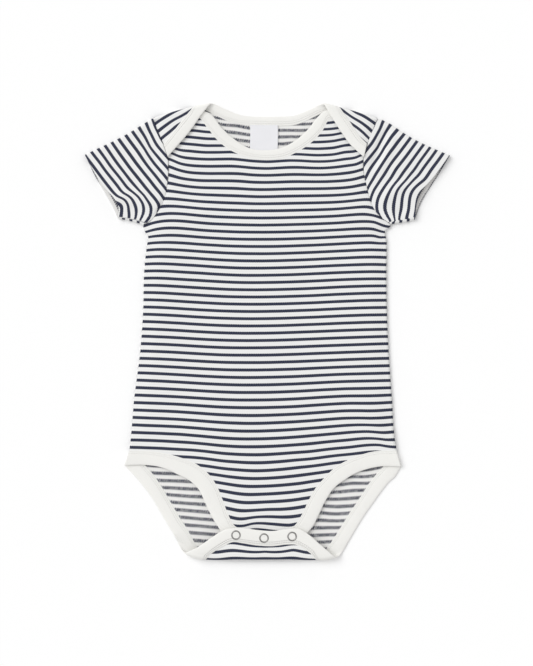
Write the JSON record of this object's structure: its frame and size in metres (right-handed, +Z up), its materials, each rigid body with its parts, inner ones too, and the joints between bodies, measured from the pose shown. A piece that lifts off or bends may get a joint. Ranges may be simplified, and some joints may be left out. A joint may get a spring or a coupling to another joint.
{
  "type": "baby bodysuit",
  "caption": "Short-sleeved baby bodysuit in fine striped jersey, with lap shoulders, rib-bound neck and legs and a snap-fastened crotch, laid flat and fastened",
  "frame": {"origin": "centre of the outline on the surface it lies on", "axes": "+X to the right as seen from above, +Y toward the neck, +Z up through the front of the garment"},
  "size_m": [0.32, 0.4006, 0.0097],
  "materials": {
    "striped_jersey": "fine cotton jersey with thin dark stripes",
    "rib_trim": "off-white cotton rib, folded and stitched",
    "label_satin": "smooth woven ribbon, plain",
    "snap_metal": "bright ring snaps"
  },
  "bodies": {
    "root": {"front_panel": "striped_jersey", "back_panel": "striped_jersey", "sleeve_left": "striped_jersey", "sleeve_right": "striped_jersey", "front_neck_binding": "rib_trim", "back_neck_binding": "rib_trim", "front_leg_binding": "rib_trim", "back_leg_binding": "rib_trim", "neck_label": "label_satin", "snap_cap_ring_1": "snap_metal", "snap_socket_1": "snap_metal", "snap_stud_1": "snap_metal", "snap_stud_ring_1": "snap_metal", "snap_cap_ring_2": "snap_metal", "snap_socket_2": "snap_metal", "snap_stud_2": "snap_metal", "snap_stud_ring_2": "snap_metal", "snap_cap_ring_3": "snap_metal", "snap_socket_3": "snap_metal", "snap_stud_3": "snap_metal", "snap_stud_ring_3": "snap_metal"}
  },
  "joints": []
}
